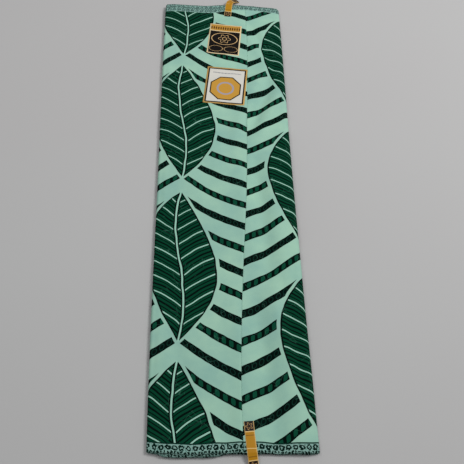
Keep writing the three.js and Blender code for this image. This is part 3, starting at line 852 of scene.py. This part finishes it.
# %% The near label: a white ground with a gold seal inside a gold frame
SEAL_Y, SEAL_WIDE, SEAL_HIGH = -9, 36, 37  # its middle, half its width and half its height
SEAL_CORNER = 52  # x and y of a point on a slanting side, added up
SEAL_LINE_HALF = 0.04  # in half widths
SEAL_RING, SEAL_RING_HALF = 19, 2.4
RULES_Y, RULES_HALF, RULE_PITCH = 42.5, 4.5, 6
DASH_PITCH, DASH_END, RULES_END = 3.6, 0.5, 35
FRAME_LINE, FRAME_LINE_HALF, GOLD_FRAME = 5.0, 1.8, 3.4
pale_paper, tree, _, millimetres = new_finish("white_coated_label_paper")
x, y, beside, to_border = label_places(tree, millimetres, LABELS["near_label_paper"])
seal_y = add(tree, MATH, add(tree, MATH, y, -SEAL_Y, operation="ADD"), operation="ABSOLUTE")
wide = add(tree, MATH, beside, SEAL_WIDE, operation="DIVIDE")
high = add(tree, MATH, seal_y, SEAL_HIGH, operation="DIVIDE")
slanting = add(tree, MATH, add(tree, MATH, beside, seal_y, operation="ADD"), SEAL_CORNER, operation="DIVIDE")
octagon = add(tree, MATH, add(tree, MATH, wide, high, operation="MAXIMUM"), slanting, operation="MAXIMUM")
ring = add(tree, MATH, distance(tree, x, seal_y), SEAL_RING, SEAL_RING_HALF, operation="COMPARE")
seal = add(tree, MIX, ring, ink("#c5943c"), ink("#a39ca6"), data_type="RGBA")
in_seal = add(tree, MATH, octagon, 1, operation="LESS_THAN")
white = add(tree, MIX, in_seal, ink("#d6d3ca"), seal, data_type="RGBA")
above = add(tree, MATH, y, RULES_Y, operation="SUBTRACT")
from_rule = add(tree, MATH, above, RULE_PITCH / 2, -RULE_PITCH / 2, operation="WRAP")
rules = add(tree, MATH, add(tree, MATH, from_rule, operation="ABSOLUTE"), RULE_HALF, operation="LESS_THAN")
ruled = add(tree, MATH, rules, add(tree, MATH, y, RULES_Y, RULES_HALF, operation="COMPARE"), operation="MULTIPLY")
along_dash = add(tree, MATH, x, DASH_PITCH / 2, -DASH_PITCH / 2, operation="WRAP")
dash = add(tree, MATH, along_dash, DASH_END, operation="LESS_THAN")
dashed = add(tree, MATH, ruled, dash, operation="MULTIPLY")
within = add(tree, MATH, beside, RULES_END, operation="LESS_THAN")
short = add(tree, MATH, dashed, within, operation="MULTIPLY")
with_rules = add(tree, MIX, short, white, ink("#6d707c"), data_type="RGBA")
seal_line = add(tree, MATH, octagon, 1, SEAL_LINE_HALF, operation="COMPARE")
frame_line = add(tree, MATH, to_border, FRAME_LINE, FRAME_LINE_HALF, operation="COMPARE")
dark_lines = add(tree, MATH, frame_line, seal_line, operation="MAXIMUM")
framed = add(tree, MIX, dark_lines, with_rules, ink("#1c120c"), data_type="RGBA")
gold_frame = add(tree, MATH, to_border, GOLD_FRAME, operation="LESS_THAN")
label_colour = add(tree, MIX, gold_frame, framed, ink("#c9a05a"), data_type="RGBA")
give(pale_paper, {"Base Color": label_colour, **COATED}, labels["near_label_paper"])

# %% The tapes: gold between two dark ends, each with a cream rosette, and a painted highlight where the paper is creased
CREASE_HIGHLIGHT_PLACES = {"near_tape_paper": 47.5, "far_tape_paper": 52}  # how far along the tape
CREASE_SLANT = 0.1
DOT_PITCH, DOT_SIZE, DOTS_AT = 2.2, 0.85, 25
BAR_AT, BAR_HALF, PALE_SIDE = DARK_END + 0.4, 0.9, 1.0
for name, (tape, length) in tapes.items():
    gold_paper, tree, _, millimetres = new_finish(f"gold_printed_tape_{name.split('_')[0]}")
    place = add(tree, SPLIT, millimetres)
    x, y = place.outputs["X"], place.outputs["Y"]
    from_end = add(tree, MATH, y, add(tree, MATH, length, y, operation="SUBTRACT"), operation="MINIMUM")
    end_y = add(tree, MATH, from_end, DARK_END / 2, operation="SUBTRACT")
    petal = rosette(tree, x, end_y, petals=5, swing=1.7, size=4.6)
    dark = add(tree, MIX, petal, ink("#1f100a"), ink("#b08c58"), data_type="RGBA")
    row_x = add(tree, MATH, x, DOT_PITCH / 2, -DOT_PITCH / 2, operation="WRAP")
    row_y = add(tree, MATH, from_end, DOTS_AT, operation="SUBTRACT")
    row = add(tree, MATH, distance(tree, row_x, row_y), DOT_SIZE, operation="LESS_THAN")
    gold = add(tree, MIX, row, ink("#b58016"), ink("#6f470c"), data_type="RGBA")
    in_end = add(tree, MATH, from_end, DARK_END - 0.5, operation="LESS_THAN")
    body = add(tree, MIX, in_end, gold, dark, data_type="RGBA")
    from_side = add(tree, MATH, TAPE_WIDTH / 2, add(tree, MATH, x, operation="ABSOLUTE"), operation="SUBTRACT")
    bar = add(tree, MATH, from_end, BAR_AT, BAR_HALF, operation="COMPARE")
    pale = add(tree, MATH, add(tree, MATH, from_side, PALE_SIDE, operation="LESS_THAN"), bar, operation="MAXIMUM")
    # The pale line across the tape at its crease is a painted highlight of the fold, in the cream of the pale sides.
    slant = add(tree, MATH, x, CREASE_SLANT, y, operation="MULTIPLY_ADD")
    crease_highlight = add(tree, MATH, slant, CREASE_HIGHLIGHT_PLACES[name], FINE_LINE_HALF, operation="COMPARE")
    pale = add(tree, MATH, pale, crease_highlight, operation="MAXIMUM")
    tape_colour = add(tree, MIX, pale, body, ink("#e2be7c"), data_type="RGBA")
    give(gold_paper, {"Base Color": tape_colour, **COATED}, tape)

# %% [markdown]
# ## The floor and the light
#
# A pale, plain sheet of card lies under the bundle. A softbox, high up on the right and level with the bundle's far
# half, gives the light its direction: it draws the troughs, and leaves a narrow shadow along the left fold. A weaker
# and wider lamp, high up on the left, fills that shadow, and so does a pale world. Both lamps are metres away, so that
# the two ends of the long bundle are lit nearly alike.

# %% Floor and light
floor_mesh = bpy.data.meshes.new("floor")
FAR = 4  # from the middle to the floor's sides, in metres
floor_mesh.from_pydata([(-FAR, -FAR, 0), (FAR, -FAR, 0), (FAR, FAR, 0), (-FAR, FAR, 0)], [], [(0, 1, 2, 3)])
floor = new_object("floor", floor_mesh)
card, tree = new_material("pale_matt_card")
mottle = add(tree, NOISE, named={"Scale": 5, "Detail": 3})
card_colour = add(tree, MIX, mottle, ink("#b6b2b2"), ink("#bec0bf"), data_type="RGBA")
give(card, {"Base Color": card_colour, "Roughness": 0.9, "Specular IOR Level": 0.2}, floor)

LAMPS = {  # power in watts, side in metres, place in metres and turn in degrees
    "softbox": (75, 1.1, (1.9, 0.25, 2.8), (29, 46, 0)),
    "fill": (30, 2.0, (-1.2, 0.3, 3.2), (28, -30, 0)),
}
for name, (power, side, place, turn) in LAMPS.items():
    lamp_data = bpy.data.lights.new(name, "AREA")
    lamp_data.energy = power
    lamp_data.size = side
    lamp = new_object(name, lamp_data)
    lamp.location = place
    lamp.rotation_euler = [math.radians(part) for part in turn]
world = bpy.data.worlds.new("studio")
world.use_nodes = True
sky = world.node_tree.nodes["Background"].inputs
sky["Color"].default_value = ink("#eef0f2")
sky["Strength"].default_value = 0.32
SCENE.world = world

# %% [markdown]
# ## What each piece stands for
#
# Nothing on the bundle moves, so every piece rides on the one body. The whole cloth is one cut, six yards long, wound
# in two pieces of mesh, and each states the part of the cut that it is.

# %% What each piece stands for
STANDS_FOR = (
    (outer_turn, "printed_cotton", ("top_leaf", "right_leaf", "under_leaf")),
    (inner_turns, "folded_cotton", ("hidden_layers",)),
    (cut_threads, "printed_cotton", ()),
    (labels["far_label_paper"], "dark_label_paper", ("far_label",)),
    (labels["near_label_paper"], "pale_label_paper", ("near_label",)),
    (tapes["far_tape_paper"][0], "gold_tape_paper", ("far_tape",)),
    (tapes["near_tape_paper"][0], "gold_tape_paper", ("near_tape",)),
)
for piece, slot, nodes in STANDS_FOR:
    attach(piece, "root")
    if nodes:
        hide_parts(*nodes)
